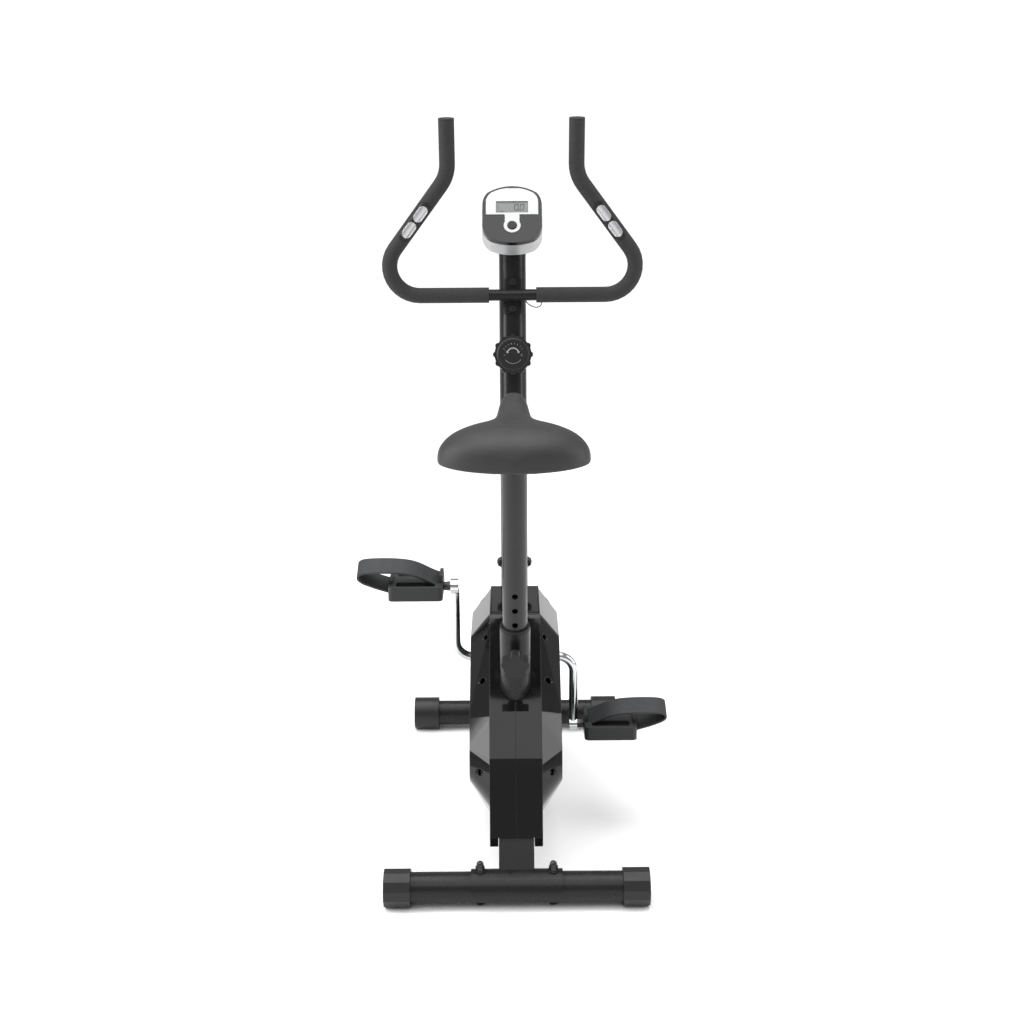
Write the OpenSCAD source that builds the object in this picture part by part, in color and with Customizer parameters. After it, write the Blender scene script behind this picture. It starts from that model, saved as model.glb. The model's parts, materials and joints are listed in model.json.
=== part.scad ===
// Upright magnetic exercise bike, standing on two stabilisers.
// +Y is the front of the bike, +X its right hand side, +Z up, floor at Z = 0.

/* [Stance] */
// Distance between the rear and the front stabiliser tube
wheelbase = 690; // [680:1:700]
// Overall length of the rear stabiliser with its levelling caps
rear_len = 428; // [400:2:460]
// Overall length of the front stabiliser with its end caps
front_len = 415; // [390:1:440]
// Diameter of both stabiliser tubes
stab_d = 50; // [49:0.5:50]
// Size of a levelling cap across its flats
leveller_flat = 60; // [58:1:61]

/* [Seat] */
// Backward lean of the seat tube and the post, in degrees
seat_lean = 12.43; // [11:0.1:14]
// Outer diameter of the seat tube
seat_tube_d = 50; // [49:0.5:51]
// Outer diameter of the seat post
post_d = 40; // [38:0.5:41]
// Distance between two adjustment holes
hole_pitch = 27; // [24:1:30]
// Height of the underside of the pad
pad_z = 719; // [715:1:725]

/* [Mast and handlebar] */
// Forward lean of the mast, in degrees
mast_lean = 13.4; // [12.5:0.1:14]
// Outer diameter of the mast
mast_d = 48; // [47:0.5:49]
// Height of the top of the mast
mast_top = 988; // [980:1:992]
// Diameter of the handlebar tube
bar_d = 20; // [18:1:21]
// Diameter over the foam grips
grip_d = 27; // [25:1:29]
// Half of the distance between the two upright hand grips
bar_top_x = 110; // [105:1:118]

/* [Drive] */
// Crank radius, from the axle to the pedal spindle
crank_r = 137; // [130:1:145]
// Diameter of the round crank bar
crank_d = 16; // [15:0.5:17]
// Backward tilt of the raised left crank arm at rest, in degrees
crank_tilt = 6.7; // [0:0.1:12]
// Outer radius of the flywheel
flywheel_r = 97; // [90:1:98]
// Running radius of the pulley on the crank
drive_r = 70; // [65:1:70]
// Running radius of the pulley on the flywheel shaft
driven_r = 20; // [18:1:22]

/* [Housing] */
// Wall thickness of the housing shells
wall = 3; // [2.5:0.5:3]
// Width of the narrow band round the edge of the housing
band_w = 86; // [82:1:88]
// Width over the two raised side fields
pod_w = 153; // [148:1:156]

/* [Hidden] */
$fn = 64;
running = 0.05;                       // radial clearance of a shaft that turns in its hole
loose = 0.3;                          // gap between parts that move past each other

// The Y centre of the bike is the origin: the caps reach equally far to both ends
leveller_r = leveller_flat / 2;
wheel_r = 18;
wheel_ahead = 17;                     // transport wheel centre ahead of the front tube
shift_y = (wheelbase + wheel_ahead + wheel_r + leveller_r) / 2 - leveller_r;
rear_y = -shift_y;
front_y = wheelbase - shift_y;
rear_z = leveller_r;
cap_r = 32;
front_z = cap_r;
saddle_t = 4;
saddle_len = 148;
bolt_gap = 59;                        // stabiliser bolts either side of the centre
stab_wall = 2;

beam_w = 57;
beam_h = 38;
beam_z = 110;
beam_path = [[rear_y + 13.5, 46], [rear_y + 57.5, beam_z], [285, beam_z], [front_y - 10, 48]];

// Seat tube: rim centre and the two directions of its plane, as [y, z]
rim = [-222.5, 430];
seat_up = [-sin(seat_lean), cos(seat_lean)];
seat_back = [-cos(seat_lean), -sin(seat_lean)];
seat_bore = 45.4;
base_z = pad_z + 10;                  // the seat base sits in a recess of the pad
post_up = (base_z - 9.5 - rim[1]) / cos(seat_lean);
post_down = 200;
first_hole = 15;                      // first adjustment hole above the rim at rest
pin_at = first_hole - 2 * hole_pitch;

// Mast: the point where it leaves the housing and the two directions of its plane
mast_foot = [40.3, 413];
mast_up = [sin(mast_lean), cos(mast_lean)];
mast_back = [-cos(mast_lean), sin(mast_lean)];
mast_len = (mast_top - mast_foot[1]) / cos(mast_lean);
stub_d = 42.6;
knob_at = 411;                        // tension knob, measured up the mast
bar_at = 516;                         // handlebar, measured up the mast
bar_off = 40.3;                       // handlebar centre behind the mast axis

// Handlebar, drawn in its own flat plane that leans back from the bar's cross piece
bar_lean = 7.6;
bar_in = 163;                         // end of the straight cross piece
bar_bend = 51.6;
bar_slope = 36.8;                     // inward slope of the hand rests, from the upright
bar_top = 301;
top_bend = 60;
grip_in = 41.6;

crank_y = -62.5;
crank_z = 316;
crank_x = 103;
crank_bend = 30;
shell_half = 34;
pulley_x0 = 41;
pulley_w = 8;
fly_y = 165;
fly_z = 232;
fly_w = 36;
shaft_d = 15;
fork_x = beam_w / 2 + 0.2;
fork_t = 5;
bearing_r = 17.5;
bearing_w = 11;
shoe_gap = 3;
shoe_open = 5;                        // swing of the brake shoe away from the flywheel at rest
shoe_pivot = [fly_y + 112 * cos(8), fly_z + 112 * sin(8)];

pedal_in = 122;
pedal_w = 92;
pedal_l = 92;
pedal_h = 24;
strap_w = 36;
strap_tilt = 25;

// Side outline of the housing band and of its raised side fields, as [y, z, corner radius]
band_corners = [[-322, 103, 0], [-306, 150, 60], [-285, 213, 90], [-240, 281, 70], [-100.5, 410, 26],
    [45, 410, 30], [150, 373, 120], [245, 335, 90], [300, 270, 90], [315, 190, 60], [300, 86, 20],
    [-318, 86, 0]];
field_corners = [[-306, 150, 40], [-285, 213, 90], [-240, 281, 70], [-100.5, 410, 26], [45, 410, 30],
    [150, 373, 120], [245, 335, 90], [300, 270, 90], [315, 190, 60], [290, 90, 40], [-225, 90, 60]];
field_mid = [-8, 248];
field_scale = [0.86, 0.70];

// Console face: bottom edge, and its tilt from the upright
face_foot = [107.5, 1011];
face_tilt = 40;
face_w = 108;
face_l = 124;
face_up = [sin(face_tilt), cos(face_tilt)];
face_out = [-cos(face_tilt), sin(face_tilt)];

black = "#141414";
satin = "#1c1d1e";
gloss = "#0c0c0d";
grey = "#3a3b3c";
silver = "#b9bcbf";
steel = "#9a9da0";
chrome = "#d5d8da";
rubber = "#26272a";

// ---- helpers ----
function unit(v) = v / norm(v);
function left_of(a, b) = let(d = unit(b - a)) [-d[1], d[0]];
function miter(p, i) = let(n = len(p),
    a = i > 0 ? left_of(p[i - 1], p[i]) : left_of(p[0], p[1]),
    b = i < n - 1 ? left_of(p[i], p[i + 1]) : left_of(p[n - 2], p[n - 1]),
    m = unit(a + b)) m / (m * a);
// Two rounds of corner cutting turn a polyline into a smooth one
function cut_corners(p) = concat([p[0]], [for (i = [0:len(p) - 2]) each [0.75 * p[i] + 0.25 * p[i + 1],
    0.25 * p[i] + 0.75 * p[i + 1]]], [p[len(p) - 1]]);
function smooth(p) = cut_corners(cut_corners(p));
// Outline of a strip that follows a polyline, h to each side of it
function strip(p, h) = concat([for (i = [0:len(p) - 1]) p[i] + h * miter(p, i)],
    [for (i = [len(p) - 1:-1:0]) p[i] - h * miter(p, i)]);
// One corner rounded by a circular arc
function arc_corner(a, b, c, r) = r == 0 ? [b] : let(u = unit(a - b), v = unit(c - b),
    half = acos(u * v) / 2, t = min(r / tan(half), 0.48 * norm(a - b), 0.48 * norm(c - b)),
    rr = t * tan(half), mid = b + unit(u + v) * rr / sin(half), s = b + u * t - mid, e = b + v * t - mid,
    turn = sign(s[0] * e[1] - s[1] * e[0]) * acos(max(-1, min(1, (s * e) / (rr * rr)))),
    n = max(2, ceil(abs(turn) / 9)))
    [for (i = [0:n]) let(w = turn * i / n)
        mid + [s[0] * cos(w) - s[1] * sin(w), s[0] * sin(w) + s[1] * cos(w)]];
function corner(p, i) = let(n = len(p), q = p[(i + n) % n]) [q[0], q[1]];
function rounded(p) = [for (i = [0:len(p) - 1]) each arc_corner(corner(p, i - 1), corner(p, i),
    corner(p, i + 1), p[i][2])];
// Corners moved inwards by d; the outlines run clockwise seen from the right
function inset(p, d) = [for (i = [0:len(p) - 1]) let(a = left_of(corner(p, i - 1), corner(p, i)),
    b = left_of(corner(p, i), corner(p, i + 1)), m = unit(a + b), q = corner(p, i) - m * d / (m * a))
    [q[0], q[1], p[i][2]]];
function shrink(p) = [for (q = p) [field_mid[0] + (q[0] - field_mid[0]) * field_scale[0],
    field_mid[1] + (q[1] - field_mid[1]) * field_scale[1], q[2] * 0.8]];
function at_seat(along, back) = rim + along * seat_up + back * seat_back;
function at_mast(along, back) = mast_foot + along * mast_up + back * mast_back;
function at_face(up, out) = face_foot + up * face_up + out * face_out;

// Places children at [y, z] in the middle plane
module yz(p) translate([0, p[0], p[1]]) children();
// Extrudes a [y, z] outline across the bike
module across(w) rotate([90, 0, 90]) linear_extrude(w, center = true) children();
module rod_x(r, x0, x1) translate([x0, 0, 0]) rotate([0, 90, 0]) cylinder(r = r, h = x1 - x0);
module ring_x(r1, r2, x0, x1) difference() {
    rod_x(r2, x0, x1);
    rod_x(r1, x0 - 1, x1 + 1);
}
// Local frames: z along the tube, -y towards the rear of the bike
module on_seat(along) yz(at_seat(along, 0)) rotate([seat_lean, 0, 0]) children();
module on_mast(along) yz(at_mast(along, 0)) rotate([-mast_lean, 0, 0]) children();
module on_face(up, out) yz(at_face(up, out)) rotate([90 - face_tilt, 0, 0]) children();
module both() for (s = [-1, 1]) scale([s, 1, 1]) children();
module mirrored() {
    children();
    mirror([1, 0, 0]) children();
}
module pipe(r, t, z0, z1) difference() {
    translate([0, 0, z0]) cylinder(r = r, h = z1 - z0);
    translate([0, 0, z0 - 1]) cylinder(r = r - t, h = z1 - z0 + 2);
}
module rounded_flat(w, l, r) {
    for (sx = [-1, 1], sy = [-1, 1]) translate([sx * (w / 2 - r), sy * (l / 2 - r)]) circle(r);
    square([w, l - 2 * r], center = true);
    square([w - 2 * r, l], center = true);
}
module rounded_box(w, l, h, r) linear_extrude(h) rounded_flat(w, l, r);
module hex(af, h) cylinder(d = af / cos(30), h = h, $fn = 6);
// Bar swept along a list of points that all lie square to the given side direction
module swept(p, side, r, sides) {
    n = len(p);
    dirs = [for (i = [0:n - 1]) unit(p[min(i + 1, n - 1)] - p[max(i - 1, 0)])];
    rings = [for (i = [0:n - 1], k = [0:sides - 1])
        p[i] + r * (side * cos(360 * k / sides) + cross(dirs[i], side) * sin(360 * k / sides))];
    walls = [for (i = [0:n - 2], k = [0:sides - 1]) let(m = (k + 1) % sides)
        [(i + 1) * sides + k, (i + 1) * sides + m, i * sides + m, i * sides + k]];
    start_cap = [for (k = [0:sides - 1]) k];
    end_cap = [for (k = [sides - 1:-1:0]) (n - 1) * sides + k];
    polyhedron(rings, concat(walls, [start_cap, end_cap]));
}

// ---- frame ----
module beam_solid(grow) across(beam_w + 2 * grow) polygon(strip(beam_path, beam_h / 2 + grow));
module stab_cut() {
    translate([0, rear_y, rear_z]) rod_x(stab_d / 2 + saddle_t + 0.3, -200, 200);
    translate([0, front_y, front_z]) rod_x(stab_d / 2 + saddle_t + 0.3, -200, 200);
}
module main_beam() color(satin) difference() {
    beam_solid(0);
    beam_solid(-2);
    stab_cut();
}
module saddle_at(y, z) translate([0, y, z]) difference() {
    rod_x(stab_d / 2 + saddle_t, -saddle_len / 2, saddle_len / 2);
    rod_x(stab_d / 2 + 0.15, -saddle_len, saddle_len);
    translate([-100, -50, -60]) cube([200, 100, 66]);
    for (s = [-1, 1]) translate([s * bolt_gap, 0, 0]) cylinder(r = 4.3, h = 50);
}
module saddles() color(satin) {
    saddle_at(rear_y, rear_z);
    saddle_at(front_y, front_z);
}
module stabiliser(y, z, half) translate([0, y, z]) difference() {
    ring_x(stab_d / 2 - stab_wall, stab_d / 2, -half, half);
    for (s = [-1, 1]) translate([s * bolt_gap, 0, -40]) cylinder(r = 4.3, h = 80);
}
module rear_stabiliser() color(satin) stabiliser(rear_y, rear_z, rear_len / 2 - 6);
module front_stabiliser() color(satin) stabiliser(front_y, front_z, front_len / 2 - 24);
module bolt_places() for (p = [[rear_y, rear_z], [front_y, front_z]], s = [-1, 1])
    translate([s * bolt_gap, p[0], p[1]]) children();
module saddle_bolts() color(satin) bolt_places() {
    translate([0, 0, -stab_d / 2 - 4]) cylinder(r1 = 7, r2 = 9, h = 4);
    translate([0, 0, -stab_d / 2]) cylinder(r = 4, h = stab_d + saddle_t + 10);
}
module saddle_nuts() color(steel) bolt_places() translate([0, 0, stab_d / 2 + saddle_t + 0.1]) {
    difference() {
        cylinder(r = 9, h = 1.6);
        translate([0, 0, -1]) cylinder(r = 4.02, h = 5);
    }
    translate([0, 0, 1.7]) difference() {
        union() {
            hex(13, 7);
            translate([0, 0, 7]) cylinder(r = 6, h = 3);
            translate([0, 0, 10]) intersection() {
                sphere(6);
                cylinder(r = 6, h = 6);
            }
        }
        translate([0, 0, -1]) cylinder(r = 4.02, h = 10);
    }
}
module seat_tube() color(satin) difference() {
    union() {
        on_seat(-330) cylinder(d = seat_tube_d, h = 330);
        on_seat(pin_at) rotate([90, 0, 0]) cylinder(r = 11, h = seat_tube_d / 2 + 12);
    }
    on_seat(-340) cylinder(d = seat_bore, h = 350);
    on_seat(pin_at) rotate([90, 0, 0]) cylinder(r = 6 + running, h = 60);
    beam_solid(0);
    translate([-50, -200, 0]) cube([100, 100, beam_z]);
}
module seat_bushing() color(black) difference() {
    union() {
        on_seat(0) pipe(seat_bore / 2 - 0.1, seat_bore / 2 - 0.1 - post_d / 2 - running, -70, 0);
        on_seat(0) pipe(seat_tube_d / 2 - 0.6, seat_tube_d / 2 - 0.6 - post_d / 2 - running, 0.1, 3.5);
    }
    on_seat(pin_at) rotate([90, 0, 0]) cylinder(r = 6.4, h = 60);
}
module mast_stub() color(satin) difference() {
    on_mast(0) pipe(stub_d / 2, 3, -310, 110);
    beam_solid(0.05);
    translate([-50, -100, 0]) cube([100, 100, beam_z]);
    on_mast(-42) rotate([-90, 0, 0]) cylinder(r = 4.5, h = 40);
    on_mast(42) rod_x(4, -40, 40);
}
module crank_shell() color(satin) difference() {
    union() {
        yz([crank_y, crank_z]) rod_x(23, -shell_half, shell_half);
        translate([-15, crank_y - 12, beam_z + beam_h / 2]) cube([30, 24, crank_z - beam_z - beam_h / 2]);
    }
    yz([crank_y, crank_z]) rod_x(19, -60, 60);
    translate([-13, crank_y - 10, beam_z]) cube([26, 20, crank_z - beam_z - 20]);
}
module bearing_cups() color(steel) yz([crank_y, crank_z]) both() {
    difference() {
        union() {
            rod_x(18.9, shell_half - 12, shell_half);
            rod_x(22.5, shell_half + 0.05, shell_half + 3);
        }
        rod_x(crank_d / 2 + running, 0, 60);
    }
}
fork_outline = [[110, 92], [288, 92], [288, 264], [262, 264], [222, 238], [196, 268], [134, 268]];
module flywheel_fork() color(satin) both() difference() {
    union() {
        translate([fork_x + fork_t / 2, 0, 0]) across(fork_t) polygon(fork_outline);
        yz([fly_y, fly_z]) rod_x(bearing_r + 4, fork_x, fork_x + bearing_w + 0.5);
    }
    yz([fly_y, fly_z]) rod_x(bearing_r + 0.02, 0, 80);
    yz(shoe_pivot) rod_x(4 + running, 0, 80);
}
module flywheel_bearings() color(steel) yz([fly_y, fly_z]) both()
    ring_x(shaft_d / 2 + running, bearing_r, fork_x + 0.5, fork_x + 0.5 + bearing_w - 0.5);

// ---- housing ----
module field(corners, x) hull() {
    translate([x[0], 0, 0]) across(0.02) polygon(rounded(corners));
    translate([x[1], 0, 0]) across(0.02) polygon(rounded(shrink(corners)));
}
// Half of the housing body, as a solid grown or shrunk by d
module half_solid(d) {
    translate([band_w / 4 + d / 2, 0, 0]) across(band_w / 2 + d) polygon(rounded(inset(band_corners, -d)));
    field(inset(field_corners, -d), [band_w / 2 - 3, pod_w / 2 + d]);
}
module cover_box(gap) translate([-band_w / 2 + 3 - gap, -100.5 - gap, 402])
    cube([band_w - 6 + 2 * gap, 160 + 2 * gap, 20]);
module mast_hole() on_mast(-60) cylinder(r = mast_d / 2 + 0.6, h = 160);
screw_spots = [[-272, 196], [-180, 318], [-124, 374], [40, 384], [170, 345], [272, 262], [286, 150],
    [-120, 118], [90, 114]];
module screw_places() for (p = screw_spots) yz(p) children();
module half_shell() difference() {
    half_solid(0);
    half_solid(-wall);
    translate([-10, -500, 0]) cube([10.2, 1000, 500]);
    beam_solid(1);
    // tail and foot stay open round the frame
    translate([-1, -360, 60]) cube([beam_w / 2 + 2, 90, 44]);
    on_seat(-200) cylinder(r = seat_tube_d / 2 + 0.6, h = 300);
    mast_hole();
    cover_box(0.4);
    yz([crank_y, crank_z]) rod_x(14, 40, 90);
}
module screw_wells() screw_places() rod_x(5.5, 47, 100);
module drilled_shell() difference() {
    half_shell();
    screw_wells();
}
module shell_right() color(gloss) drilled_shell();
module shell_left() color(gloss) mirror([1, 0, 0]) drilled_shell();
module both_halves(t) union() {
    half_solid(t);
    mirror([1, 0, 0]) half_solid(t);
}
module top_cover() color(gloss) difference() {
    intersection() {
        both_halves(0);
        cover_box(0);
    }
    intersection() {
        both_halves(-wall);
        cover_box(5);
    }
    mast_hole();
}
module shell_screws() color(steel) both() screw_places() difference() {
    rod_x(3.6, 40, 44.5);
    rod_x(1.4, 42.5, 60);
}

// ---- mast, handlebar ----
module mast() color(satin) difference() {
    on_mast(0) pipe(mast_d / 2, 2.5, -18, mast_len);
    on_mast(42) rod_x(4.3, -60, 60);
    on_mast(knob_at) rotate([90, 0, 0]) cylinder(r = 5, h = 40);
    for (d = [-23, 23]) on_mast(bar_at + d) rotate([90, 0, 0]) cylinder(r = 3.1, h = 40);
}
module bar_bolts() for (d = [-23, 23]) on_mast(bar_at + d) rotate([90, 0, 0]) {
    translate([0, 0, mast_d / 2 - 6]) cylinder(r = 3, h = 12);
    translate([0, 0, mast_d / 2 + 5.1]) difference() {
        cylinder(r = 5.6, h = 5);
        translate([0, 0, 2]) cylinder(r = 2.6, h = 4, $fn = 6);
    }
}
module mast_bolts() color(black) {
    bar_bolts();
    on_mast(42) both() {
        rod_x(4 - 0.02, 14, 26);
        ring_x(4, 9.5, mast_d / 2 + 0.1, mast_d / 2 + 2);
        translate([mast_d / 2 + 2.1, 0, 0]) rotate([0, 90, 0]) intersection() {
            translate([0, 0, -7]) sphere(12.5);
            cylinder(r = 8, h = 7);
        }
    }
}
module bar_bracket() color(satin) on_mast(bar_at) difference() {
    union() {
        intersection() {
            pipe(mast_d / 2 + 5, 4.8, -31, 31);
            translate([-16, -60, -40]) cube([32, 60, 80]);
        }
        translate([-16, -bar_off + 2, -8]) cube([32, bar_off - mast_d / 2 - 6, 16]);
    }
    translate([0, -bar_off, 0]) rod_x(bar_d / 2 + 0.02, -30, 30);
    for (d = [-23, 23]) translate([0, 0, d]) rotate([90, 0, 0]) cylinder(r = 3.1, h = 60);
}
// Half of the bar's route in its own plane: straight, bend, slope, bend, upright
slope_dir = [-sin(bar_slope), cos(bar_slope)];
low_mid = [bar_in, bar_bend];
slope_from = low_mid + bar_bend * [cos(bar_slope), sin(bar_slope)];
slope_len = (slope_from[0] - bar_top_x) / sin(bar_slope) - top_bend * tan(bar_slope / 2);
slope_to = slope_from + slope_len * slope_dir;
high_mid = [bar_top_x + top_bend, slope_to[1] + top_bend * sin(bar_slope)];
bar_c = at_mast(bar_at, bar_off);
module bar_plane() yz(bar_c) rotate([bar_lean, 0, 0]) rotate([90, 0, 0]) children();
bar_sides = 32;
function on_arc(mid, radius, a0, a1, n) = [for (k = [0:n]) let(a = a0 + (a1 - a0) * k / n)
    [mid[0] + radius * cos(a), mid[1] + radius * sin(a), 0]];
function bar_half(start, finish) = concat([[start, 0, 0]], on_arc(low_mid, bar_bend, -90, bar_slope, 12),
    on_arc(high_mid, top_bend, 180 + bar_slope, 180, 5), [[bar_top_x, finish, 0]]);
function bar_full(finish) = let(h = bar_half(0, finish), n = len(h))
    concat([for (i = [n - 1:-1:1]) [-h[i][0], h[i][1], 0]], [for (i = [1:n - 1]) h[i]]);
module handlebar() color(satin) bar_plane() difference() {
    swept(bar_full(bar_top), [0, 0, 1], bar_d / 2, bar_sides);
    swept(bar_full(bar_top + 1), [0, 0, 1], bar_d / 2 - 1.5, bar_sides);
}
module grip() bar_plane() {
    difference() {
        swept(bar_half(grip_in, bar_top), [0, 0, 1], grip_d / 2, bar_sides);
        swept(bar_half(grip_in - 1, bar_top + 1), [0, 0, 1], bar_d / 2 + 0.05, bar_sides);
        sensor_cut();
    }
    translate([bar_top_x, bar_top + 0.2, 0]) rotate([-90, 0, 0]) cylinder(r = grip_d / 2, h = 2.5);
}
// Pulse sensors lie on the rear of each hand rest, in a long oval tray
sensor_mid = slope_from + (slope_len * 0.45) * slope_dir;
module on_sensor() translate([sensor_mid[0], sensor_mid[1], 0]) rotate([0, 0, bar_slope]) children();
module oval(w, l, h) linear_extrude(h) {
    square([w, l - w], center = true);
    for (s = [-1, 1]) translate([0, s * (l - w) / 2]) circle(w / 2);
}
module sensor_cut() on_sensor() translate([0, 0, 4]) oval(21.4, 78.4, 30);
module half_ring(r1, r2, l) rotate([90, 0, 0]) difference() {
    cylinder(r = r2, h = l, center = true);
    cylinder(r = r1, h = l + 2, center = true);
}
module pulse_frames() color(rubber) both() bar_plane() on_sensor() difference() {
    intersection() {
        half_ring(bar_d / 2 + 0.1, grip_d / 2 + 0.8, 90);
        translate([0, 0, 4]) oval(21, 78, 30);
    }
    intersection() {
        half_ring(grip_d / 2 - 1.5, grip_d, 90);
        for (s = [-1, 1]) translate([0, s * 17, 0]) oval(17, 31, 30);
    }
}
module pulse_plates() color(silver) both() bar_plane() on_sensor() intersection() {
    half_ring(grip_d / 2 - 1.4, grip_d / 2 + 1.2, 90);
    for (s = [-1, 1]) translate([0, s * 17, 0]) oval(16.6, 30.6, 30);
}
wire_route = [[22, -6, 4], [24.5, -12, 4], [29, -16.5, 4], [35, -20, 4], [41, -21.5, 4], [47, -20.5, 4],
    [50.5, -17, 4], [51, -11, 4]];
module sensor_wire() color(black) bar_plane() difference() {
    swept(wire_route, [0, 0, 1], 0.9, 8);
    rotate([0, 90, 0]) cylinder(r = bar_d / 2 + 0.02, h = 100, center = true);
    rod_x(grip_d / 2 + 0.02, grip_in, 100);
}
module left_grip() color(rubber) mirror([1, 0, 0]) grip();
module right_grip() color(rubber) grip();

// ---- resistance control ----
module knob_base() color(black) on_mast(knob_at) rotate([90, 0, 0]) difference() {
    translate([0, 0, 14]) rounded_box(44, 44, mast_d / 2 + 10 - 14, 6);
    translate([0, 40, 0]) rotate([90, 0, 0]) cylinder(r = mast_d / 2 + 0.1, h = 80);
    cylinder(r = 5, h = 60);
}
module tension_knob() color(black) on_mast(knob_at) rotate([90, 0, 0]) {
    translate([0, 0, mast_d / 2 + 10 + loose]) linear_extrude(20) {
        circle(32.5);
        for (k = [0:11]) rotate(30 * k) translate([30.5, 0]) circle(4.8);
    }
    translate([0, 0, mast_d / 2 + 20.2 + 10]) cylinder(r1 = 29, r2 = 26, h = 2);
    translate([0, 0, mast_d / 2 + 1]) cylinder(r = 4.8, h = 12);
}
cable_route = [for (p = [[405, 18], [396, 14], [384, 6], [370, 0], [300, 0], [200, 0], [100, 0], [30, 0],
    [0, 0], [-14, -2], [-26, -7], [-36, -14], [-42, -22]]) let(q = at_mast(p[0], p[1])) [0, q[0], q[1]]];
cable_end = [[0, 80, 367], [0, 120, 361], [0, 160, 354], [0, 190, 348]];
module tension_cable() color(black) swept(concat(cable_route, cable_end), [1, 0, 0], 1.5, 8);
module shoe_pin() color(steel) yz(shoe_pivot) rod_x(4, -fork_x - 8, fork_x + 8);
module on_shoe() yz(shoe_pivot) rotate([-shoe_open, 0, 0])
    translate([0, -shoe_pivot[0], -shoe_pivot[1]]) children();
function rim_point(r, a) = [fly_y + r * cos(a), fly_z + r * sin(a)];
module brake_shoe() color(satin) on_shoe() difference() {
    union() {
        across(42) polygon(concat([for (a = [14:4:70]) rim_point(flywheel_r + shoe_gap + 4, a)],
            [for (a = [70:-4:14]) rim_point(flywheel_r + shoe_gap + 8, a)]));
        yz(shoe_pivot) rod_x(8, -21, 21);
        across(42) polygon([rim_point(107, 4), rim_point(117, 6), rim_point(108, 17), rim_point(102, 15)]);
    }
    yz(shoe_pivot) rod_x(4 + running, -40, 40);
}
module magnets() color(steel) on_shoe() for (a = [24:11:66]) yz([fly_y, fly_z]) rotate([a, 0, 0])
    translate([-15, flywheel_r + shoe_gap, -7]) cube([30, 3.55, 14]);

// ---- drive ----
module on_crank() yz([crank_y, crank_z]) rotate([crank_tilt, 0, 0]) rotate([90, 0, 0]) children();
module crank_half() {
    rotate([0, 90, 0]) cylinder(r = crank_d / 2, h = crank_x - crank_bend);
    translate([crank_x - crank_bend, -crank_bend, 0]) rotate_extrude(angle = 90) translate([crank_bend, 0])
        circle(crank_d / 2);
    translate([crank_x, -crank_bend, 0]) rotate([90, 0, 0])
        cylinder(r = crank_d / 2, h = crank_r - crank_bend - 6);
    translate([crank_x, -crank_r, 0]) difference() {
        rotate([0, 90, 0]) translate([0, 0, -7]) cylinder(r = 13, h = 14);
        rotate([0, 90, 0]) translate([0, 0, -10]) cylinder(r = 6 + 0.02, h = 20);
    }
}
module crank() color(chrome) on_crank() difference() {
    union() {
        crank_half();
        rotate([0, 0, 180]) crank_half();
    }
    for (s = [-1, 1]) translate([s * crank_x, -s * crank_r, 0]) rotate([0, 90, 0])
        cylinder(r = 6.02, h = 40, center = true);
}
module drive_pulley() color(black) yz([crank_y, crank_z]) rotate([0, 90, 0]) difference() {
    rotate_extrude() polygon([[crank_d / 2 + 0.02, pulley_x0 - 2.6],
        [18, pulley_x0 - 2.6], [18, pulley_x0 + 2],
        [drive_r - 8, pulley_x0 + 2], [drive_r - 8, pulley_x0], [drive_r, pulley_x0],
        [drive_r, pulley_x0 + pulley_w], [drive_r - 8, pulley_x0 + pulley_w], [drive_r - 8, pulley_x0 + 5],
        [18, pulley_x0 + 5], [18, pulley_x0 + 11], [crank_d / 2 + 0.02, pulley_x0 + 11]]);
    for (k = [0:5]) rotate(60 * k) translate([40, 0, pulley_x0 - 5]) cylinder(r = 12, h = 20);
}
function spindle_at(s) = [crank_y + s * crank_r * sin(crank_tilt), crank_z - s * crank_r * cos(crank_tilt)];
module spindle(s) yz(spindle_at(s)) scale([s, 1, 1]) {
    rod_x(6, crank_x - 7, pedal_in + pedal_w - 12);
    translate([crank_x + 7.1, 0, 0]) rotate([0, 90, 0]) hex(15, 6);
    rod_x(7.5, crank_x + 13, pedal_in - 1);
}
module pedal_spindles() color(steel) {
    spindle(1);
    spindle(-1);
}
module pedal(s) color(black) yz(spindle_at(s)) scale([s, 1, 1]) difference() {
    union() {
        translate([pedal_in + pedal_w / 2, 0, -pedal_h / 2]) rounded_box(pedal_w, pedal_l, pedal_h, 8);
        translate([pedal_in, -20, 0]) cube([6, 40, 26]);
        translate([pedal_in + pedal_w - 6, -20, 0]) cube([6, 40, 16]);
    }
    for (y = [-27, 27]) translate([pedal_in + pedal_w / 2, y, 7]) rounded_box(pedal_w - 26, 22, 10, 5);
    rod_x(6 + running, 0, pedal_in + pedal_w - 11.5);
    rod_x(7.5 + loose, 0, pedal_in);
    strap_band(0.1);
}
module left_pedal() pedal(-1);
module right_pedal() pedal(1);
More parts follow.
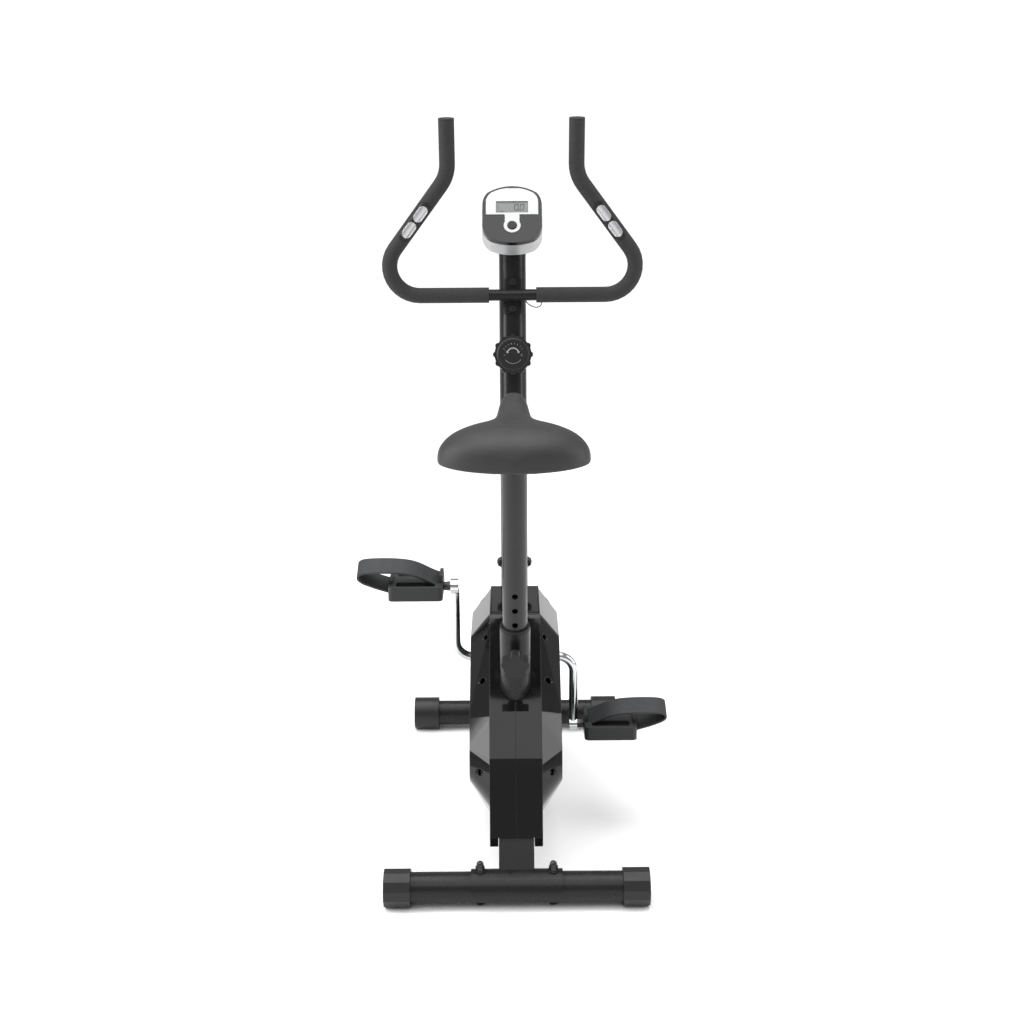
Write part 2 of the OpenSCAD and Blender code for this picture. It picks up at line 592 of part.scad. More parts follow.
// Toe strap: from the inner upright over the foot, round the outer end and back to the tread
strap_route = [[pedal_in + 4, 14], [146, 26], [163, 38], [182, 45], [206, 48], [240, 48], [259, 46],
    [267, 38], [262, 26], [242, 15], [226, 8], [pedal_in + pedal_w - 3, 2]];
module strap_band(grow) rotate([strap_tilt, 0, 0]) rotate([90, 0, 0])
    linear_extrude(strap_w + 2 * grow, center = true) polygon(strip(smooth(strap_route), 1.8 + grow));
module strap(s) color(rubber) yz(spindle_at(s)) scale([s, 1, 1]) strap_band(0);
module left_strap() strap(-1);
module right_strap() strap(1);
module flywheel() color(steel) yz([fly_y, fly_z]) rotate([0, 90, 0]) rotate_extrude() polygon([
    [shaft_d / 2 + 0.02, -fly_w / 2 - 6], [22, -fly_w / 2 - 6], [22, -7], [flywheel_r - 26, -7],
    [flywheel_r - 26, -fly_w / 2], [flywheel_r, -fly_w / 2], [flywheel_r, fly_w / 2],
    [flywheel_r - 26, fly_w / 2], [flywheel_r - 26, 7], [22, 7], [22, fly_w / 2 + 6],
    [shaft_d / 2 + 0.02, fly_w / 2 + 6]]);
module flywheel_shaft() color(steel) yz([fly_y, fly_z]) rod_x(shaft_d / 2, -fork_x - 16, 54);
module driven_pulley() color(steel) yz([fly_y, fly_z]) rotate([0, 90, 0]) rotate_extrude() polygon([
    [shaft_d / 2 + 0.02, pulley_x0 - 0.6], [driven_r, pulley_x0 - 0.6], [driven_r, pulley_x0 + pulley_w],
    [14, pulley_x0 + pulley_w], [14, pulley_x0 + 11], [shaft_d / 2 + 0.02, pulley_x0 + 11]]);
module belt_loop(grow, x0, w) hull() {
    yz([crank_y, crank_z]) rod_x(drive_r + grow, x0, x0 + w);
    yz([fly_y, fly_z]) rod_x(driven_r + grow, x0, x0 + w);
}
module drive_belt() color(rubber) difference() {
    belt_loop(3.2, pulley_x0 + 0.5, pulley_w - 1);
    belt_loop(loose, pulley_x0 - 5, pulley_w + 10);
}

// ---- seat ----
module seat_post() color(satin) difference() {
    union() {
        difference() {
            on_seat(0) pipe(post_d / 2, 2, -post_down, post_up + 8);
            translate([-100, -400, base_z - 9.6]) cube([200, 300, 100]);
        }
        yz(at_seat(post_up, 0)) translate([0, 4, -5.1]) rounded_box(84, 84, 4.8, 8);
    }
    for (k = [-5:2]) on_seat(first_hole + k * hole_pitch) rotate([90, 0, 0]) cylinder(r = 4.75, h = 40);
    for (p = seat_stud) translate([p[0], p[1], base_z - 30]) cylinder(r = 4.2, h = 60);
}
seat_mid_y = at_seat(post_up, 0)[0];
seat_stud = [[-32, seat_mid_y - 20], [32, seat_mid_y - 20], [0, seat_mid_y + 36]];
module seat_base() color(black) {
    translate([0, seat_mid_y + 20, base_z - 4.6]) rounded_box(116, 124, 4.4, 24);
    for (p = seat_stud) translate([p[0], p[1], base_z - 21]) cylinder(r = 4, h = 17);
}
module seat_nuts() color(steel) for (p = seat_stud) translate([p[0], p[1], base_z - 21 + 0.4]) difference() {
    hex(13, 5.6);
    translate([0, 0, -1]) cylinder(r = 4.02, h = 10);
}
module seat_pad() color(grey) difference() {
    hull() {
        intersection() {
            translate([0, -300, pad_z + 14]) scale([118 / 60, 66 / 60, 1]) sphere(60, $fn = 40);
            translate([-150, -400, pad_z]) cube([300, 200, 76]);
        }
        translate([0, -130, pad_z + 50]) scale([27 / 28, 1, 1]) sphere(28, $fn = 32);
    }
    translate([-62, seat_mid_y + 20 - 66, pad_z - 10]) cube([124, 132, 20]);
}
module seat_pin() color(black) on_seat(pin_at) rotate([90, 0, 0]) {
    translate([0, 0, seat_tube_d / 2 + 12 + loose]) cylinder(r = 13, h = 5);
    translate([0, 0, seat_tube_d / 2 + 12 + loose + 5]) linear_extrude(18) {
        circle(19);
        for (k = [0:4]) rotate(72 * k + 90) translate([16, 0]) circle(7.5);
    }
    translate([0, 0, post_d / 2 + 0.4]) cylinder(r = 6, h = 20);
}

// ---- caps and transport wheels ----
module leveller() color(satin) translate([0, rear_y, rear_z]) difference() {
    rotate([15, 0, 0]) translate([rear_len / 2 - 43, 0, 0]) rotate([0, 90, 0])
        cylinder(r = leveller_r / cos(15), h = 43, $fn = 12);
    rod_x(stab_d / 2 + running, rear_len / 2 - 60, rear_len / 2 - 5.5);
}
module left_leveller() mirror([1, 0, 0]) leveller();
module right_leveller() leveller();
wheel_z = wheel_r + 3;
wheel_x = front_len / 2 - 12;
module on_wheel() translate([0, front_y + wheel_ahead, wheel_z]) children();
module front_caps() color(satin) both() difference() {
    translate([0, front_y, front_z]) rod_x(cap_r, front_len / 2 - 50, front_len / 2);
    translate([0, front_y, front_z]) rod_x(stab_d / 2 + 0.05, 0, front_len / 2 - 23.5);
    on_wheel() rod_x(wheel_r + 2, wheel_x - 9, wheel_x + 9);
    on_wheel() rod_x(3.02, wheel_x - 11, wheel_x + 11);
}
module wheel_axles() color(steel) both() on_wheel() rod_x(3, wheel_x - 10.5, wheel_x + 10.5);
module wheel() color(black) on_wheel() difference() {
    rod_x(wheel_r, wheel_x - 7.5, wheel_x + 7.5);
    rod_x(3 + running, 0, 300);
}
module left_wheel() mirror([1, 0, 0]) wheel();
module right_wheel() wheel();

// ---- console ----
// Outline of the console: straight sides, an arched top and bottom
module face_shape(d) {
    intersection() {
        translate([0, face_l / 2]) rounded_flat(face_w - 2 * d, face_l - 2 * d, 40 - d);
        translate([0, face_l - 76]) circle(76 - d);
        translate([0, 92]) circle(92 - d);
    }
}
module console_back() color(silver) difference() {
    union() {
        on_face(0, -30) linear_extrude(29) face_shape(1);
        on_face(0, -42) linear_extrude(13) face_shape(14);
    }
    on_face(0, -27.5) linear_extrude(40) face_shape(4);
    on_mast(0) cylinder(r = mast_d / 2 + 0.5, h = mast_len + 0.5);
}
module console_face() color(gloss) difference() {
    on_face(0, -0.8) linear_extrude(7) face_shape(2);
    on_face(0, -3) linear_extrude(6.5) face_shape(5);
    on_face(0, 5) linear_extrude(3) plate_shape(0.2);
    on_face(77, -6) linear_extrude(20) square([58, 26], center = true);
    on_face(38, -6) cylinder(r = 8.4, h = 20);
}
module plate_shape(d) {
    intersection() {
        translate([0, 92]) square([92 + 2 * d, 62 + 2 * d], center = true);
        translate([0, face_l - 76]) circle(70 + d);
        translate([0, face_l / 2]) rounded_flat(face_w - 14 + 2 * d, face_l - 14 + 2 * d, 33 + d);
    }
    translate([0, 38]) circle(15 + d);
    translate([0, 54]) square([26 + 2 * d, 24], center = true);
}
module console_plate() color(silver) difference() {
    on_face(0, 5.1) linear_extrude(2) plate_shape(0);
    on_face(77, -6) linear_extrude(20) square([56, 24], center = true);
    on_face(38, -6) cylinder(r = 8.4, h = 20);
}
module console_window() color("#8c938b") on_face(77, 1) linear_extrude(4.6)
    square([55.4, 23.4], center = true);
module console_button() color(black) on_face(38, 1.5) cylinder(r = 8, h = 7.6);
module console_bracket() color(satin) difference() {
    on_mast(mast_len) {
        translate([0, 0, -24]) cylinder(r = mast_d / 2 - 2.6, h = 24.1);
        translate([0, 0, 0.1]) cylinder(r = mast_d / 2 + 0.4, h = 3);
        translate([0, 0, 3]) cylinder(r = 15, h = 70);
    }
    on_face(0, -42.05) linear_extrude(90) square([300, 400], center = true);
    on_mast(mast_len - 30) cylinder(r = mast_d / 2 - 6, h = 28);
}

main_beam();
saddles();
rear_stabiliser();
front_stabiliser();
saddle_bolts();
saddle_nuts();
seat_tube();
seat_bushing();
mast_stub();
crank_shell();
bearing_cups();
flywheel_fork();
flywheel_bearings();
shell_left();
shell_right();
top_cover();
shell_screws();
mast();
mast_bolts();
bar_bracket();
knob_base();
tension_cable();
shoe_pin();
drive_belt();
front_caps();
wheel_axles();
console_back();
console_face();
console_plate();
console_window();
console_bracket();
crank();
drive_pulley();
pedal_spindles();
flywheel();
flywheel_shaft();
driven_pulley();
left_pedal();
left_strap();
right_pedal();
right_strap();
seat_post();
seat_base();
seat_pad();
seat_nuts();
seat_pin();
tension_knob();
brake_shoe();
magnets();
console_button();
left_leveller();
right_leveller();
left_wheel();
right_wheel();
handlebar();
left_grip();
right_grip();
pulse_frames();
pulse_plates();
sensor_wire();
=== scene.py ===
import json
import math
import bpy
import numpy as np
from mathutils import Matrix, Vector


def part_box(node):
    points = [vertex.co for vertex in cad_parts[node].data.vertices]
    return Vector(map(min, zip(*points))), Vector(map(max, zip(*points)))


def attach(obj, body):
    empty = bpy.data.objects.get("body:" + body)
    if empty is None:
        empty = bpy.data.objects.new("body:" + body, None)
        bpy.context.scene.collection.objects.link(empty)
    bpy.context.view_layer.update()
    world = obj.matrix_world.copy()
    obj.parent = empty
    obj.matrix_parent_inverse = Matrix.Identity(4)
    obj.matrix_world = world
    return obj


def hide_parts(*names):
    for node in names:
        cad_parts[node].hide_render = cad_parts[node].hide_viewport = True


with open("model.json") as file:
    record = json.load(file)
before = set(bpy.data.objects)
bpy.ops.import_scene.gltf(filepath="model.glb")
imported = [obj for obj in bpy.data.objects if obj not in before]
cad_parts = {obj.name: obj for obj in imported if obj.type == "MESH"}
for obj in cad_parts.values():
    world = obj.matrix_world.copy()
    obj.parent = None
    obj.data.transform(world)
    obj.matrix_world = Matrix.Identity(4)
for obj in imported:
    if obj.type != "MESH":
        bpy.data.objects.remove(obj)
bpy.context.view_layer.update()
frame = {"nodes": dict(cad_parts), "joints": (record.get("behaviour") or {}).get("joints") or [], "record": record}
nodes = frame["nodes"]
print("frame loaded")


class Wire:
    # a socket that takes arithmetic; each sum or product adds its Math node
    def __init__(self, graph, socket):
        self.graph = graph
        self.socket = socket

    def calc(self, operation, first, second):
        return self.graph.node("ShaderNodeMath", sets={"operation": operation}, feeds={0: first, 1: second})

    def __add__(self, other):
        return self.calc("ADD", self, other)

    def __radd__(self, other):
        return self.calc("ADD", other, self)

    def __sub__(self, other):
        return self.calc("SUBTRACT", self, other)

    def __rsub__(self, other):
        return self.calc("SUBTRACT", other, self)

    def __mul__(self, other):
        return self.calc("MULTIPLY", self, other)

    def __rmul__(self, other):
        return self.calc("MULTIPLY", other, self)

    def above(self, low, high):
        # 0 up to low, 1 from high on, smooth between
        return self.graph.node("ShaderNodeMapRange", out="Result", sets={"interpolation_type": "SMOOTHSTEP"},
                               feeds={"Value": self, "From Min": low, "From Max": high})


class Graph:
    # a node tree and the one way that nodes are added to it
    def __init__(self, tree):
        self.tree = tree

    def join(self, value, socket):
        if isinstance(value, Wire):
            self.tree.links.new(value.socket, socket)
        else:
            socket.default_value = value

    def node(self, kind, out=0, sets=None, feeds=None):
        # settings first, then a value or a link for each socket
        made = self.tree.nodes.new(kind)
        for key, value in (sets or {}).items():
            setattr(made, key, value)
        for key, value in (feeds or {}).items():
            self.join(value, made.inputs[key])
        return Wire(self, made.outputs[out])


class Paint(Graph):
    # one material with its shader
    def __init__(self, name):
        self.material = bpy.data.materials.new(name)
        self.material.use_nodes = True
        super().__init__(self.material.node_tree)
        self.shader = self.tree.nodes["Principled BSDF"]
        self.coords = self.node("ShaderNodeTexCoord", out="Object")

    def noise(self, scale, detail=3.0, rough=0.55, stretch=(1, 1, 1)):
        place = self.node("ShaderNodeMapping", feeds={"Vector": self.coords, "Scale": stretch})
        return self.node("ShaderNodeTexNoise", out="Fac", feeds={"Vector": place, "Scale": scale,
                                                                 "Detail": detail, "Roughness": rough})

    def cells(self, scale, feature):
        return self.node("ShaderNodeTexVoronoi", out="Distance", sets={"feature": feature},
                         feeds={"Vector": self.coords, "Scale": scale})

    def mix(self, amount, first, second):
        return self.node("ShaderNodeMix", out=2, sets={"data_type": "RGBA"},
                         feeds={0: amount, 6: first, 7: second})

    def put(self, name, value):
        self.join(value, self.shader.inputs[name])

    def bump(self, height, strength, distance, normal):
        return self.node("ShaderNodeBump", out="Normal", feeds={"Height": height, "Strength": strength,
                                                                "Distance": distance, "Normal": normal})


def shade(color, factor):
    return tuple(min(1.0, c * factor) for c in color[:3]) + (1.0,)


# what a finish has unless its own entry says otherwise
usual = {
    "metallic": 0.0, "specular": 0.5, "coat": 0.0, "coatRough": 0.08,
    "mottle": 0.25, "mottleScale": 14.0, "darkSide": 0.72, "lightSide": 1.28,   # slow change of tone
    "speckle": 0.12, "grain": 0.1, "grainScale": 900.0, "depth": 0.0002, "stretch": (1, 1, 1),
    "roughVary": 0.06, "smudgeScale": 26.0,
    "scratch": 0.05, "scratchScale": 260.0, "scratchStretch": (9.0, 0.35, 1.0),
    "dust": 0.02, "dustScale": 70.0, "dustColor": (0.5, 0.49, 0.47, 1.0), "dustRough": 0.6,
    "swell": 0.03, "swellDepth": 0.002, "edge": 0.0008, "edgeSamples": 4,
    "pebble": 0, "pores": 0,   # cells per metre of a leather grain, or of open foam
}


def finishFor(slot, changes):
    # tone, wiped patches, fine scratches, dust on top faces, rounded edges, grain
    look = {**usual, **changes}
    paint = Paint(slot)
    mottle = paint.noise(look["mottleScale"], 4.0, 0.6)
    fine = paint.noise(look["grainScale"], 2.0, 0.5, look["stretch"])
    smudge = paint.noise(look["smudgeScale"], 6.0, 0.65).above(0.42, 0.68)
    scratch = paint.noise(look["scratchScale"], 2.0, 0.4, look["scratchStretch"]).above(0.71, 0.78)
    tone = (mottle - 0.5) * look["mottle"] + (fine - 0.5) * look["speckle"] + 0.5
    base = paint.mix(tone, shade(look["color"], look["darkSide"]), shade(look["color"], look["lightSide"]))
    facing = paint.node("ShaderNodeNewGeometry", out="Normal")
    up = paint.node("ShaderNodeSeparateXYZ", out="Z", feeds={"Vector": facing})
    dust = up.above(0.55, 1.0) * paint.noise(look["dustScale"], 5.0, 0.7).above(0.35, 0.75) * look["dust"]
    paint.put("Base Color", paint.mix(dust, base, look["dustColor"]))
    worn = look["rough"] + (smudge - 0.5) * look["roughVary"] + scratch * look["scratch"]
    paint.put("Roughness", worn + dust * look["dustRough"])
    paint.put("Metallic", look["metallic"])
    paint.put("Specular IOR Level", look["specular"])
    paint.put("Coat Weight", look["coat"])
    paint.put("Coat Roughness", look["coatRough"])
    height = fine
    if look["pebble"]:
        height = paint.cells(look["pebble"], "SMOOTH_F1").above(0.0, 0.7) * 0.8 + fine * 0.2
    if look["pores"]:
        height = paint.cells(look["pores"], "F1").above(0.05, 0.5) * 0.7 + fine * 0.3
    edge = paint.node("ShaderNodeBevel", out="Normal", sets={"samples": look["edgeSamples"]},
                      feeds={"Radius": look["edge"]})
    relief = paint.bump(height, look["grain"], look["depth"], edge)
    paint.put("Normal", paint.bump(mottle, look["swell"], look["swellDepth"], relief))
    return paint.material


looks = {
    "frame_paint": {"color": (0.010, 0.010, 0.011), "rough": 0.30, "grainScale": 700.0, "grain": 0.03,
                    "specular": 0.22, "edge": 0.0012},
    "post_paint": {"color": (0.013, 0.013, 0.014), "rough": 0.33, "grainScale": 500.0, "grain": 0.04,
                   "stretch": (1.0, 1.0, 0.06), "scratch": 0.12, "edge": 0.0008, "specular": 0.35},
    "black_steel": {"color": (0.030, 0.030, 0.032), "rough": 0.27, "metallic": 0.6, "grain": 0.05},
    "bright_steel": {"color": (0.52, 0.53, 0.54), "rough": 0.24, "metallic": 1.0, "grain": 0.05,
                     "stretch": (0.1, 1.0, 1.0), "mottle": 0.15},
    "sensor_steel": {"color": (0.50, 0.50, 0.51), "rough": 0.30, "metallic": 0.85, "grain": 0.05,
                     "stretch": (1.0, 1.0, 0.08), "mottle": 0.12},
    "crank_chrome": {"color": (0.55, 0.56, 0.57), "rough": 0.10, "metallic": 1.0, "grain": 0.01,
                     "roughVary": 0.05, "mottle": 0.08},
    "flywheel_iron": {"color": (0.17, 0.17, 0.175), "rough": 0.42, "metallic": 0.9, "grain": 0.15},
    "pulley_aluminium": {"color": (0.60, 0.61, 0.62), "rough": 0.28, "metallic": 1.0, "grain": 0.05},
    "housing_gloss": {"color": (0.006, 0.006, 0.0065), "rough": 0.09, "roughVary": 0.05, "grain": 0.0,
                      "coat": 0.12, "coatRough": 0.04, "dust": 0.004, "specular": 0.22, "swell": 0.012,
                      "scratch": 0.03, "edge": 0.0016, "mottle": 0.12},
    "silver_plastic": {"color": (0.36, 0.365, 0.37), "rough": 0.32, "metallic": 0.35, "coat": 0.2,
                       "grainScale": 2600.0, "speckle": 0.3, "grain": 0.03, "edge": 0.0014},
    "black_plastic": {"color": (0.012, 0.012, 0.013), "rough": 0.42, "specular": 0.25,
                      "grainScale": 1500.0, "grain": 0.22, "edge": 0.0010},
    "cap_plastic": {"color": (0.014, 0.014, 0.015), "rough": 0.36, "specular": 0.28,
                    "grainScale": 1100.0, "grain": 0.16, "edge": 0.0012},
    "pedal_plastic": {"color": (0.024, 0.025, 0.026), "rough": 0.50, "specular": 0.3,
                      "grainScale": 1000.0, "grain": 0.25, "edge": 0.0016},
    "strap_rubber": {"color": (0.030, 0.031, 0.033), "rough": 0.58, "specular": 0.3,
                     "grainScale": 800.0, "grain": 0.22, "edge": 0.0008},
    "belt_rubber": {"color": (0.020, 0.020, 0.020), "rough": 0.7, "grain": 0.2},
    "cable_rubber": {"color": (0.012, 0.012, 0.012), "rough": 0.4, "grain": 0.1},
    "foam": {"color": (0.026, 0.026, 0.027), "rough": 0.80, "pores": 900.0, "grain": 0.5,
             "depth": 0.0003, "grainScale": 1500.0, "specular": 0.3, "edge": 0.0016},
    "seat_vinyl": {"color": (0.022, 0.022, 0.023), "rough": 0.54, "pebble": 620.0, "grain": 0.35,
                   "depth": 0.0003, "specular": 0.38, "mottle": 0.15, "swell": 0.02, "edge": 0.0005},
    "lcd_glass": {"color": (0.10, 0.105, 0.10), "rough": 0.18, "coat": 0.2, "coatRough": 0.02,
                  "grain": 0.0, "mottle": 0.05, "edge": 0.0003},
}
materials = {slot: finishFor(slot, look) for slot, look in looks.items()}
for part in frame["record"]["subparts"]:
    surface = nodes[part["node"]].data
    surface.materials.clear()
    surface.materials.append(materials[part["material_slot"]])
print("finishes made")


def meshPiece(name, points, faces, slot, body, smooth=True):
    mesh = bpy.data.meshes.new(name)
    mesh.from_pydata([tuple(p) for p in points], [], [tuple(f) for f in faces])
    mesh.update()
    piece = bpy.data.objects.new(name, mesh)
    bpy.context.scene.collection.objects.link(piece)
    piece.data.materials.append(materials[slot])
    for face in mesh.polygons:
        face.use_smooth = smooth
    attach(piece, body)
    return piece


def softCurve(stations, count, rounds=6):
    # even samples of (place, value, value, ...) stations, smoothed a few rounds
    table = np.array(stations, float)
    places = np.linspace(table[0, 0], table[-1, 0], count)
    found = [places]
    for column in range(1, table.shape[1]):
        values = np.interp(places, table[:, 0], table[:, column])
        for turn in range(rounds):
            inner = (values[:-2] + 2 * values[1:-1] + values[2:]) / 4
            values = np.concatenate([values[:1], inner, values[-1:]])
        found.append(values)
    return np.array(found).T


seat = {
    # place along the pad from tail to nose, then half width, top, edge and underside, as parts of the box
    "stations": [(0.000, 0.02, 0.24, 0.10, 0.04), (0.010, 0.30, 0.38, 0.09, 0.01),
                 (0.030, 0.50, 0.50, 0.09, 0.0), (0.065, 0.71, 0.62, 0.09, 0.0),
                 (0.115, 0.87, 0.71, 0.10, 0.0), (0.175, 0.97, 0.78, 0.11, 0.0),
                 (0.250, 1.00, 0.81, 0.12, 0.0), (0.330, 0.965, 0.81, 0.14, 0.01),
                 (0.400, 0.86, 0.80, 0.17, 0.01), (0.460, 0.64, 0.79, 0.21, 0.02),
                 (0.520, 0.47, 0.79, 0.25, 0.03), (0.580, 0.36, 0.80, 0.29, 0.05),
                 (0.650, 0.29, 0.83, 0.33, 0.08), (0.740, 0.25, 0.89, 0.38, 0.14),
                 (0.840, 0.225, 0.97, 0.46, 0.24), (0.920, 0.205, 1.00, 0.52, 0.33),
                 (0.965, 0.175, 0.98, 0.56, 0.40), (0.990, 0.115, 0.90, 0.60, 0.48),
                 (1.000, 0.010, 0.72, 0.62, 0.56)],
    "inset": 0.001,       # gap left at the tail and at the nose
    "widthShare": 0.995,
    "rings": 120,
    "sides": 96,
    "roundness": 2.45,    # 2 is an ellipse, more is boxier
    "underRoundness": 0.6,
    "recess": {"half": 0.064, "deep": 0.0105, "soft": 0.006, "start": 0.10, "end": 0.60, "slope": 0.02},
    "dip": {"deep": 0.0022, "half": 0.013, "place": 0.42, "reach": 0.26},
    "seam": {"deep": 0.0011, "level": 0.30, "half": 0.05},
    "fill": 0.9,
}


def hump(value, middle, half):
    return math.exp(-((value - middle) / half) ** 2)


def ramp(distance, length):
    return min(1.0, max(0.0, distance / length))


def seatPiece():
    low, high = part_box("seat_pad")
    length, height = high.y - low.y, high.z - low.z
    halfWidth = min(-low.x, high.x) * seat["widthShare"]
    recess, dip, seam, sides = seat["recess"], seat["dip"], seat["seam"], seat["sides"]
    power = 2.0 / seat["roundness"]
    rows = softCurve(seat["stations"], seat["rings"])
    points, faces = [], []
    for place, width, top, edge, under in rows:
        y = low.y + seat["inset"] + place * (length - 2 * seat["inset"])
        for k in range(sides):
            angle = 2 * math.pi * k / sides
            out, rise = math.cos(angle), math.sin(angle)
            x = halfWidth * width * math.copysign(abs(out) ** power, out)
            if rise >= 0:
                z = edge + (top - edge) * abs(rise) ** power
                z -= dip["deep"] / height * hump(x, 0, dip["half"]) * hump(place, dip["place"], dip["reach"])
            else:
                # the underside is hollow over the base plate
                z = edge - (edge - under) * abs(rise) ** seat["underRoundness"]
                begin = ramp(place - recess["start"], recess["slope"])
                end = ramp(recess["end"] - place, recess["slope"])
                z += recess["deep"] / height * begin * end * ramp(recess["half"] - abs(x), recess["soft"])
            groove = hump(rise, -seam["level"], seam["half"]) * seam["deep"]
            x -= math.copysign(min(groove, abs(x)), x)
            points.append((x, y, low.z + z * height))
    for i in range(len(rows) - 1):
        for k in range(sides):
            after = (k + 1) % sides
            faces.append((i * sides + k, i * sides + after, (i + 1) * sides + after, (i + 1) * sides + k))
    tail, nose = len(points), len(points) + 1
    lastRing = (len(rows) - 1) * sides
    for start in (0, lastRing):
        points.append(tuple(np.array(points[start:start + sides]).mean(axis=0)))
    for k in range(sides):
        after = (k + 1) % sides
        faces.append((after, k, tail))
        faces.append((lastRing + k, lastRing + after, nose))
    faces = [tuple(reversed(f)) for f in faces]
    pad = meshPiece("seatCushion", points, faces, "seat_vinyl", "saddle_carrier")
    smoother = pad.modifiers.new("fair", "SUBSURF")
    smoother.levels = 1
    smoother.render_levels = 1
    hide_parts("seat_pad")


seatPiece()
print("seat made")


def jointNamed(name):
    return next(j for j in frame["joints"] if j["name"] == name)


def printPlane(node, outward, spot):
    # a frame lying on the node's outermost face, square to outward, over the given spot
    upward = Vector((0, outward.z, -outward.y))
    matrix = Matrix((Vector((1, 0, 0)), upward, outward)).transposed().to_4x4()
    reach = max(Vector(v.co).dot(outward) for v in nodes[node].data.vertices)
    matrix.translation = spot + outward * (reach - spot.dot(outward) + 0.00002)
    return matrix


def slab(outline, thick):
    # a flat outline given a small thickness
    count = len(outline)
    points = [(x, y, 0.0) for x, y in outline] + [(x, y, thick) for x, y in outline]
    faces = [tuple(range(count))[::-1], tuple(range(count, 2 * count))]
    faces += [(k, (k + 1) % count, (k + 1) % count + count, k + count) for k in range(count)]
    return points, faces


def marks(name, outlines, plane, thick, slot, body):
    points, faces = [], []
    for outline in outlines:
        corners, around = slab(outline, thick)
        start = len(points)
        points += [tuple(plane @ Vector(p)) for p in corners]
        faces += [tuple(start + k for k in f) for f in around]
    meshPiece(name, points, faces, slot, body, smooth=False)


def onCircle(radius, degrees):
    return radius * math.cos(math.radians(degrees)), radius * math.sin(math.radians(degrees))


def arcBand(radius, width, start, finish, steps=24):
    angles = [start + (finish - start) * k / steps for k in range(steps + 1)]
    outer = [onCircle(radius + width / 2, a) for a in angles]
    return outer + [onCircle(radius - width / 2, a) for a in reversed(angles)]


def bar(middleX, middleY, width, height):
    left, right = middleX - width / 2, middleX + width / 2
    low, high = middleY - height / 2, middleY + height / 2
    return [(left, low), (right, low), (right, high), (left, high)]


def tickAt(degrees, radius, length, width):
    outX, outY = onCircle(1.0, degrees)
    return [(radius * outX + x * outX - y * outY, radius * outY + x * outY + y * outX)
            for x, y in bar(0, 0, length, width)]


dial = {
    "thick": 0.00025,
    "arc": (0.0105, 0.0022), "arcFrom": 25, "arcTo": 155,           # radius and width
    "headReach": 65, "headTip": 82, "headHalf": 0.003,              # arrow heads at both ends of the arc
    "ticks": 8, "tickRadius": 0.0185, "tickSize": (0.0022, 0.0007), "tickFrom": 150, "tickSweep": 120,
    "sign": (0.0150, -0.0015, 0.0030, 0.0008),                      # sideways, up, length, stroke
    "plusArm": 0.0011, "plusArms": (0.0001, -0.0031),
    "lowArc": (0.0165, 0.0006), "lowFrom": 215, "lowTo": 325,
}


def dialMarks():
    outlines = [arcBand(*dial["arc"], dial["arcFrom"], dial["arcTo"])]
    radius, half = dial["arc"][0], dial["headHalf"]
    for side in (-1, 1):
        foot, tip = 90 - side * dial["headReach"], 90 - side * dial["headTip"]
        head = [onCircle(radius + half, foot), onCircle(radius, tip), onCircle(radius - half, foot)]
        outlines.append(head if side < 0 else head[::-1])
    for k in range(dial["ticks"]):
        degrees = dial["tickFrom"] - dial["tickSweep"] * k / (dial["ticks"] - 1)
        outlines.append(tickAt(degrees, dial["tickRadius"], *dial["tickSize"]))
    sideways, up, length, stroke = dial["sign"]
    outlines += [bar(-sideways, up, length, stroke), bar(sideways, up, length, stroke)]
    outlines += [bar(sideways, level, stroke, dial["plusArm"]) for level in dial["plusArms"]]
    outlines.append(arcBand(*dial["lowArc"], dial["lowFrom"], dial["lowTo"]))
    turn = jointNamed("tension_turn")
    plane = printPlane("tension_knob", Vector(turn["axis"]).normalized(), Vector(turn["pos_m"]))
    marks("dialPrint", outlines, plane, dial["thick"], "silver_plastic", "resistance_knob")


digit = {
    "height": 0.0120, "width": 0.0062, "stroke": 0.0012, "slant": 0.08, "thick": 0.0002,
    "places": (0.0075, 0.0175),
    # middle, then width and height of the point, the top rule, the small dash and the side rule
    "others": [(0.0123, -0.0062, 0.0013, 0.0013), (0.0, 0.0093, 0.048, 0.0004),
               (-0.018, -0.0085, 0.007, 0.0006), (-0.0245, 0, 0.0004, 0.015)],
}


def zeroAt(middle):
    tall, wide, stroke = digit["height"], digit["width"], digit["stroke"]
    strokes = [bar(middle, tall / 2, wide - stroke, stroke), bar(middle, -tall / 2, wide - stroke, stroke)]
    for side in (-1, 1):
        for end in (-1, 1):
            strokes.append(bar(middle + side * wide / 2, end * tall / 4, stroke, tall / 2 - stroke))
    return [[(x + digit["slant"] * y, y) for x, y in stroke] for stroke in strokes]


def screenMarks():
    outlines = [stroke for middle in digit["places"] for stroke in zeroAt(middle)]
    outlines += [bar(*numbers) for numbers in digit["others"]]
    low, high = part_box("console_window")
    outward = -Vector(jointNamed("mode_press")["axis"]).normalized()
    plane = printPlane("console_window", outward, (low + high) / 2)
    marks("screenDigits", outlines, plane, digit["thick"], "black_plastic", "frame")


dialMarks()
screenMarks()
print("marks made")

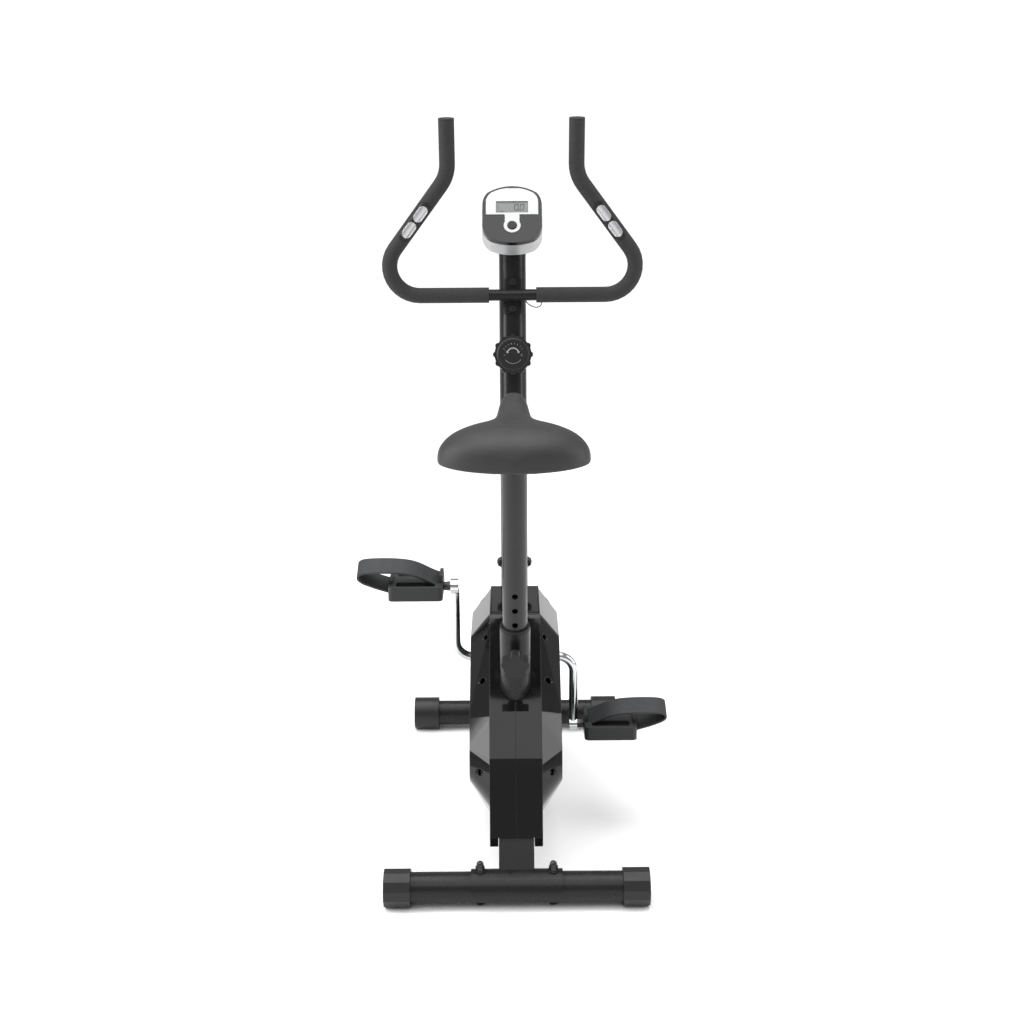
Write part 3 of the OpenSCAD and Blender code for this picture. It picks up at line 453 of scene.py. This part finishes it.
studio = {"floor": (0.97, 0.97, 0.97), "floorRough": 0.65, "floorSize": 40, "floorAt": (0, 8, -0.0002),
          "world": 0.42, "backdrop": 1.06,      # light on the object, and what the camera sees behind it
          "sun": 2.6, "sunSpread": 75.0, "sunTilt": (14, -10)}
softboxes = [
    # name, place, aim, width, height, power
    ("keyBox", (-2.6, -0.5, 1.7), (0, 0, 0.6), 1.0, 2.2, 60.0),
    ("fillBox", (2.7, -0.3, 1.6), (0, 0, 0.6), 1.0, 2.2, 34.0),
    ("topBox", (0, 0.3, 3.2), (0, 0, 0.5), 2.4, 2.4, 30.0),
]
lens = {"place": (-0.0037, -2.3945, 1.236), "pitch": 15.74, "roll": -0.39, "length": 50.0, "sensor": 36.0,
        "clipEnd": 100.0}


def studioFloor():
    paint = Paint("floorFinish")
    color = studio["floor"]
    paint.put("Base Color", paint.mix(paint.noise(3.0), shade(color, 0.985), shade(color, 1.0)))
    paint.put("Roughness", studio["floorRough"])
    bpy.ops.mesh.primitive_plane_add(size=studio["floorSize"], location=studio["floorAt"])
    floor = bpy.context.object
    floor.name = "studioFloor"
    floor.data.materials.append(paint.material)


def studioWorld():
    world = bpy.data.worlds.new("studioWorld")
    bpy.context.scene.world = world
    world.use_nodes = True
    graph = Graph(world.node_tree)
    seen = graph.node("ShaderNodeLightPath", out="Is Camera Ray")
    sky = world.node_tree.nodes["Background"]
    graph.join((1, 1, 1, 1), sky.inputs["Color"])
    graph.join(seen * (studio["backdrop"] - studio["world"]) + studio["world"], sky.inputs["Strength"])


def lampObject(name, data):
    lamp = bpy.data.objects.new(name, data)
    bpy.context.scene.collection.objects.link(lamp)
    return lamp


def studioLights():
    for name, place, aim, wide, tall, power in softboxes:
        data = bpy.data.lights.new(name, "AREA")
        data.shape = "RECTANGLE"
        data.size = wide
        data.size_y = tall
        data.energy = power
        lamp = lampObject(name, data)
        lamp.location = place
        lamp.rotation_euler = (Vector(aim) - Vector(place)).to_track_quat("-Z", "Y").to_euler()
    data = bpy.data.lights.new("skySun", "SUN")
    data.energy = studio["sun"]
    data.angle = math.radians(studio["sunSpread"])
    tiltX, tiltY = studio["sunTilt"]
    lampObject("skySun", data).rotation_euler = (math.radians(tiltX), math.radians(tiltY), 0)


def studioCamera():
    data = bpy.data.cameras.new("studioCamera")
    data.lens = lens["length"]
    data.sensor_width = lens["sensor"]
    data.clip_end = lens["clipEnd"]
    camera = bpy.data.objects.new("studioCamera", data)
    bpy.context.scene.collection.objects.link(camera)
    camera.location = lens["place"]
    pitch = Matrix.Rotation(math.radians(90 - lens["pitch"]), 4, "X")
    roll = Matrix.Rotation(math.radians(lens["roll"]), 4, "Z")
    camera.rotation_euler = (pitch @ roll).to_euler()
    bpy.context.scene.camera = camera


studioFloor()
studioWorld()
studioLights()
studioCamera()
bpy.context.scene.view_settings.view_transform = "Standard"
print("room and camera set")
